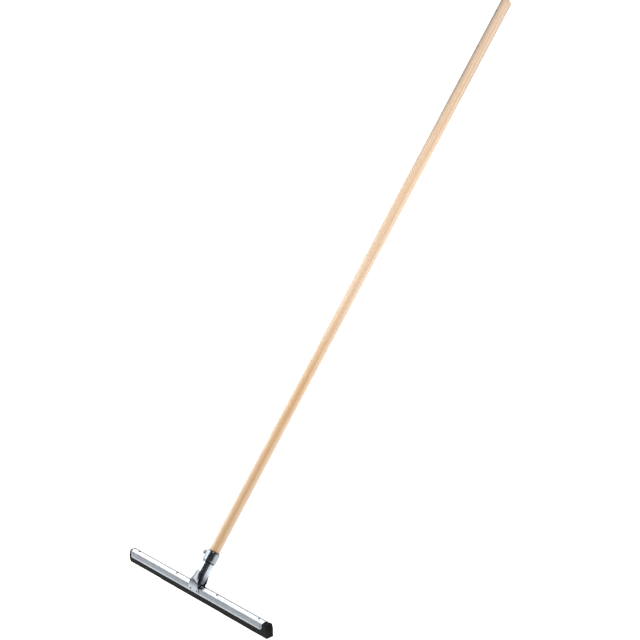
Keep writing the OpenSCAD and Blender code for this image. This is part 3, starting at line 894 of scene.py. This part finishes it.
# WASHER
# A plain stamped steel washer between the rear ear and the wing nut.
# Its edges are rounded by tumbling before it is plated.
washer_in_r, washer_out_r = 2.6, 4.4
washer_low, washer_high = 3.3, 4.3
washer_edge = 0.18
washer_profile = [
    (washer_in_r, washer_low + washer_edge), (washer_in_r, washer_high - washer_edge),
    (washer_in_r + washer_edge, washer_high), (washer_out_r - washer_edge, washer_high),
    (washer_out_r, washer_high - washer_edge), (washer_out_r, washer_low + washer_edge),
    (washer_out_r - washer_edge, washer_low), (washer_in_r + washer_edge, washer_low),
    (washer_in_r, washer_low + washer_edge),
]
washer = turned("clamp_washer_stamped", washer_profile, bolt_sides, bolt_point, bolt_turn)
shade_smooth(washer.data, 50)
washer.data.materials.append(hardware_zinc)
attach(washer, "washer")
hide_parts("clamp_washer")


# WING NUT
# A cast wing nut for the fingers, with a tapered hub and two rounded wings swept up from it.
# Casting leaves soft edges and fillets all over, and it is plated like the bolt.
hub_low, hub_h = 4.3, 6.5
hub_r, hub_top_r, nut_bore_r = 4.2, 3.4, 2.55
wing_root, wing_reach, wing_h = 1.5, 9.5, 11.0
wing_tip_r, wing_t = 2.2, 2.0
wing_sink = 0.3
tip_from_deg, tip_step_deg = -35, 17
cast_grain = 0.19

hub_profile = [
    (nut_bore_r, hub_low), (nut_bore_r, hub_low + hub_h), (hub_top_r, hub_low + hub_h),
    (hub_r, hub_low), (nut_bore_r, hub_low),
]
wing_nut = turned("cast_wing_nut", hub_profile, 48, bolt_point, bolt_turn)
tip_at = (wing_reach - wing_tip_r, wing_h - wing_tip_r)
wing_outline = [(nut_bore_r + wing_sink, wing_root), (hub_r, wing_root)]
wing_outline += [
    (tip_at[0] + wing_tip_r * math.cos(a), tip_at[1] + wing_tip_r * math.sin(a))
    for a in [math.radians(tip_from_deg + tip_step_deg * k) for k in range(11)]
]
wing_outline += [(hub_top_r + 0.6, hub_h - 0.2), (nut_bore_r + wing_sink, hub_h - 0.6)]
mesh = bmesh.new()
mesh.from_mesh(wing_nut.data)
for side in (-1, 1):
    sheets = []
    for face in (-wing_t / 2, wing_t / 2):
        sheets.append(
            [
                mesh.verts.new(on_axis(bolt_x + face, hub_low + h, bolt_t + side * reach) * MM)
                for reach, h in wing_outline
            ]
        )
    mesh.faces.new(sheets[0])
    mesh.faces.new(sheets[1])
    for k in range(len(wing_outline)):
        n = (k + 1) % len(wing_outline)
        mesh.faces.new((sheets[0][k], sheets[0][n], sheets[1][n], sheets[1][k]))
bmesh.ops.recalc_face_normals(mesh, faces=mesh.faces)
mesh.to_mesh(wing_nut.data)
mesh.free()
cast = wing_nut.modifiers.new("cast in one", "REMESH")
cast.mode = "VOXEL"
cast.voxel_size = cast_grain * MM
soft = wing_nut.modifiers.new("soft edges", "SMOOTH")
soft.factor = 0.5
soft.iterations = 7
bake_modifiers(wing_nut, 180)
wing_nut.data.materials.clear()
wing_nut.data.materials.append(hardware_zinc)
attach(wing_nut, "wing_nut")
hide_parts("wing_nut")


# HANDLE
# A planed beech dowel, turned to a rounded tip, with a hole drilled across near the tip to hang it by.
# It is bare wood with straight grain and short flecks, with painted shade in a ring where it enters the
# socket and inside the hanging hole.
# Its middle is painted lighter, its lower half's sides paler with a sheen, and its upper half's sides grey:
# painted light and painted shade.
handle_r = 11.97
handle_low, handle_high = 15.0, 1414.95
handle_bevel = 2.0
tip_h = 9.0
plain_low, plain_high = 75, 1400
hang_t, hang_r = 1378.0, 4.5
hang_turn = math.radians(55)
hole_flare = [(1.6, 14.5), (0.9, 12.1), (0.35, 11.5), (0.0, 10.6)]
plain_steps, tip_steps = 30, 14
handle_sides, drill_sides = 72, 40
mouth_shade_low, mouth_shade_high = 70, 80
# The way across the handle to the two sides that get painted light and painted shade.
painted_side_way = Vector((-0.714, -0.70, 0.0))


def product(tree, one, two):
    """Two values multiplied."""
    node = tree.nodes.new("ShaderNodeMath")
    node.operation = "MULTIPLY"
    tree.links.new(one, node.inputs[0])
    tree.links.new(two, node.inputs[1])
    return node.outputs[0]


handle_turn = turn_to(on_axis(0, 0, 1) - on_axis(0, 0, 0))
handle_profile = [(0, handle_low), (handle_r - handle_bevel, handle_low)]
handle_profile += [(handle_r, handle_low + handle_bevel)]
plain_run = [plain_low + (plain_high - plain_low) * k / plain_steps for k in range(plain_steps + 1)]
handle_profile += [(handle_r, t) for t in plain_run]
handle_profile += [(r, handle_high - tip_h + h) for r, h in domed(handle_r, tip_h, tip_steps)]
handle = turned("beech_handle", handle_profile, handle_sides, on_axis(0, 0, 0), handle_turn)
drill_turn = turn_to(on_axis(math.cos(hang_turn), math.sin(hang_turn), 0) - on_axis(0, 0, 0))
drill_reach = hole_flare[0][1]
drill_profile = [(0, -drill_reach)] + [(hang_r + wide, -h) for wide, h in hole_flare]
drill_profile += [(hang_r + wide, h) for wide, h in reversed(hole_flare)] + [(0, drill_reach)]
drill = turned("hanging_hole_drill", drill_profile, drill_sides, on_axis(0, 0, hang_t), drill_turn)
bored = handle.modifiers.new("hanging hole", "BOOLEAN")
bored.operation = "DIFFERENCE"
bored.solver = "EXACT"
bored.object = drill
bake_modifiers(handle, 30)
bpy.data.objects.remove(drill)

beech, tree, shader, place = new_finish("beech")
along = mapped(tree, place, (1, 1, 1), axis_turn, axis_shift)
length = tree.nodes.new("ShaderNodeSeparateXYZ")
tree.links.new(along, length.inputs[0])
up_handle = length.outputs["Z"]

wander = noise_field(tree, mapped(tree, place, (55, 55, 2.2), axis_turn), detail=3, rough=0.5)
fibre = noise_field(tree, mapped(tree, place, (1500, 1500, 16), axis_turn), detail=5, rough=0.6)
flecks = noise_field(tree, mapped(tree, place, (900, 900, 75), axis_turn), detail=2, rough=0.5)
rings = tree.nodes.new("ShaderNodeTexWave")
rings.wave_type = "BANDS"
rings.bands_direction = "X"
for socket, number in {"Scale": 1.0, "Distortion": 7.0, "Detail": 3.0, "Detail Scale": 1.4}.items():
    rings.inputs[socket].default_value = number
tree.links.new(mapped(tree, place, (95, 40, 1.6), axis_turn), rings.inputs["Vector"])
body_colour = ramp(
    tree, mixed(tree, rings.outputs["Fac"], wander, 0.5),
    [(0.15, (0.70, 0.49, 0.33)), (0.5, (0.78, 0.58, 0.42)), (0.85, (0.84, 0.66, 0.50))],
)
# Painted light: the middle of the handle is painted lighter and paler, and its lower end a deeper yellow.
length_light_tone = ramp(
    tree, span(tree, up_handle, 0.05, 1.4, 0.0, 1.0),
    [
        (0.0, (0.98, 0.85, 0.66)), (0.3, (1.05, 0.885, 0.66)), (0.46, (1.18, 1.14, 1.08)),
        (0.72, (1.18, 1.18, 1.15)), (1.0, (1.02, 1.02, 1.03)),
    ],
)
fibre_tone = ramp(tree, fibre, [(0.3, (0.86, 0.84, 0.82)), (0.7, (1.0, 1.0, 1.0))])
fleck_tone = ramp(tree, flecks, [(0.66, (1.0, 1.0, 1.0)), (0.74, (0.80, 0.70, 0.62))])
# Painted shade: a dark ring from the socket's mouth down stands for the shadow in the gap between the wood
# and the tube.
mouth_shade_tone = ramp(
    tree, span(tree, up_handle, mouth_shade_low * MM, mouth_shade_high * MM, 0.0, 1.0),
    [
        (0.0, (0.35, 0.31, 0.29)), (0.5, (0.30, 0.26, 0.24)), (0.66, (0.9, 0.87, 0.85)),
        (1.0, (1.0, 1.0, 1.0)),
    ],
)

# Painted shade: the inside of the hanging hole and its rim are darkened.
hole_place = tree.nodes.new("ShaderNodeVectorRotate")
hole_place.rotation_type = "Z_AXIS"
hole_place.inputs["Angle"].default_value = -hang_turn
tree.links.new(along, hole_place.inputs["Vector"])
hole_offset = tree.nodes.new("ShaderNodeVectorMath")
hole_offset.operation = "MULTIPLY_ADD"
hole_offset.inputs[1].default_value = (0, 1, 1)
hole_offset.inputs[2].default_value = (0, 0, -hang_t * MM)
tree.links.new(hole_place.outputs["Vector"], hole_offset.inputs[0])
hole_away = tree.nodes.new("ShaderNodeVectorMath")
hole_away.operation = "LENGTH"
tree.links.new(hole_offset.outputs["Vector"], hole_away.inputs[0])
hole_shade_tone = ramp(
    tree, span(tree, hole_away.outputs["Value"], (hang_r + 0.02) * MM, (hang_r + 1.0) * MM, 0.0, 1.0),
    [(0.0, (0.42, 0.33, 0.27)), (0.7, (0.92, 0.88, 0.85)), (1.0, (1.0, 1.0, 1.0))],
)

# Painted light and painted shade fall on the handle's two sides across this way.
painted_side_reach = tree.nodes.new("ShaderNodeVectorMath")
painted_side_reach.operation = "DOT_PRODUCT"
painted_side_reach.inputs[1].default_value = painted_side_way / (handle_r * MM)
tree.links.new(along, painted_side_reach.inputs[0])
either_side = tree.nodes.new("ShaderNodeMath")
either_side.operation = "ABSOLUTE"
tree.links.new(painted_side_reach.outputs["Value"], either_side.inputs[0])
lower_half = span(tree, up_handle, 0.45, 0.95, 1.0, 0.0)
upper_half = span(tree, up_handle, 0.75, 1.2, 0.0, 1.0)
# Painted light: the lower half's sides are painted paler, and the same mask gives them their sheen.
painted_pale_sides = product(tree, lower_half, span(tree, either_side.outputs[0], 0.1, 0.75, 0.0, 1.0))
painted_pale_tone = ramp(tree, painted_pale_sides, [(0.0, (1.0, 1.0, 1.0)), (1.0, (1.02, 1.11, 1.25))])
# Painted shade: the upper half's sides are painted grey.
painted_grey_sides = product(tree, painted_side_reach.outputs["Value"], upper_half)
painted_grey_tone = ramp(
    tree, span(tree, painted_grey_sides, -1.0, 1.0, 0.0, 1.0),
    [
        (0.0, (0.76, 0.81, 0.88)), (0.2, (1.0, 1.0, 1.0)), (0.66, (1.0, 1.0, 1.0)),
        (0.82, (0.74, 0.79, 0.86)), (1.0, (0.52, 0.57, 0.65)),
    ],
)

# The grain with the painted shade and painted light laid over it.
light_and_shade_colour = multiplied(tree, body_colour, mouth_shade_tone, painted_pale_tone, painted_grey_tone)
colour = multiplied(tree, light_and_shade_colour, length_light_tone, fibre_tone, fleck_tone, hole_shade_tone)
tree.links.new(colour, shader.inputs["Base Color"])
tree.links.new(span(tree, fibre, 0.3, 0.7, 0.62, 0.48), shader.inputs["Roughness"])
grooves = bump(tree, fibre, depth_mm=0.06, strength=0.35)
tree.links.new(bump(tree, flecks, depth_mm=0.05, strength=0.2, under=grooves), shader.inputs["Normal"])
shader.inputs["Specular IOR Level"].default_value = 0.1
shader.inputs["Sheen Roughness"].default_value = 0.7
tree.links.new(painted_pale_sides, shader.inputs["Sheen Weight"])
handle.data.materials.append(beech)
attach(handle, "handle")
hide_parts("handle")


# STUDIO
# A plain white floor that glows a little, so that it stays white all round the part.
# Soft panels on the left and overhead light the part, and the surroundings are bright only behind it.
# The side that the camera stands on is left dark, so the plating shows it as a dark band.
floor_half = 40
corners = [(-1, -1), (1, -1), (1, 1), (-1, 1)]
floor_mesh = bpy.data.meshes.new("studio_floor")
floor_mesh.from_pydata([(x * floor_half, y * floor_half, 0) for x, y in corners], [], [(0, 1, 2, 3)])
floor = bpy.data.objects.new("studio_floor", floor_mesh)
bpy.context.scene.collection.objects.link(floor)
floor_paint, tree, shader, place = new_finish("floor_paint")
shader.inputs["Base Color"].default_value = (0.25, 0.25, 0.25, 1)
shader.inputs["Roughness"].default_value = 0.9
shader.inputs["Specular IOR Level"].default_value = 0.0
shader.inputs["Emission Color"].default_value = (1, 1, 1, 1)
shader.inputs["Emission Strength"].default_value = 1.35
floor.data.materials.append(floor_paint)

camera_side = Vector((0.70, -0.54, 0.465)).normalized()
world = bpy.data.worlds.new("studio")
bpy.context.scene.world = world
world.use_nodes = True
tree = world.node_tree
sky = tree.nodes["Background"]
sky.inputs["Color"].default_value = (1, 1, 1, 1)
way = tree.nodes.new("ShaderNodeTexCoord")
facing = tree.nodes.new("ShaderNodeVectorMath")
facing.operation = "DOT_PRODUCT"
facing.inputs[1].default_value = camera_side
tree.links.new(way.outputs["Generated"], facing.inputs[0])
glow = [(0.0, 1.1), (0.08, 1.05), (0.17, 0.58), (0.5, 0.26), (0.66, 0.02)]
around = ramp(
    tree, span(tree, facing.outputs["Value"], -1.0, 1.0, 0.0, 1.0),
    [(at, (level, level, level)) for at, level in glow],
)
seen = tree.nodes.new("ShaderNodeLightPath")
strength = tree.nodes.new("ShaderNodeMath")
strength.operation = "MAXIMUM"
tree.links.new(around, strength.inputs[0])
tree.links.new(seen.outputs["Is Camera Ray"], strength.inputs[1])
tree.links.new(strength.outputs[0], sky.inputs["Strength"])
bpy.context.scene.view_settings.view_transform = "Standard"


def soft_panel(name, centre, target, width, height, power, spread=180):
    """A soft light panel in metres and watts. A spread under 180 degrees keeps it to its target."""
    light = bpy.data.lights.new(name, "AREA")
    light.shape = "RECTANGLE"
    light.size, light.size_y = width, height
    light.energy = power
    light.spread = math.radians(spread)
    panel = bpy.data.objects.new(name, light)
    panel.location = centre
    panel.rotation_euler = (Vector(target) - Vector(centre)).to_track_quat("-Z", "Y").to_euler()
    bpy.context.scene.collection.objects.link(panel)


soft_panel("roof_panel", (-1.82, 0.36, 1.85), (0, -0.12, 0.03), width=0.8, height=1.7, power=1.9, spread=46)
soft_panel("top_panel", (1.5, 0.0, 3.2), (0, 0.3, 0.3), width=2.0, height=2.0, power=62)
soft_panel("left_panel", (-1.2, -0.9, 1.2), (0, 0.25, 0.36), width=1.6, height=1.4, power=5.2, spread=80)
soft_panel("rim_panel", (-1.3, 0.25, 0.35), (0, 0.15, 0.2), width=0.9, height=0.6, power=0.7, spread=70)

camera_at = Vector((2.5052, -1.9404, 1.6944))
camera_dip, camera_turn = 19.087, 47.68
lens = bpy.data.cameras.new("photo_camera")
lens.sensor_width = 36
lens.lens = 97.0
lens.clip_end = 100
camera = bpy.data.objects.new("photo_camera", lens)
camera.location = camera_at
camera.rotation_euler = (math.radians(90 - camera_dip), 0, math.radians(camera_turn))
bpy.context.scene.collection.objects.link(camera)
bpy.context.scene.camera = camera
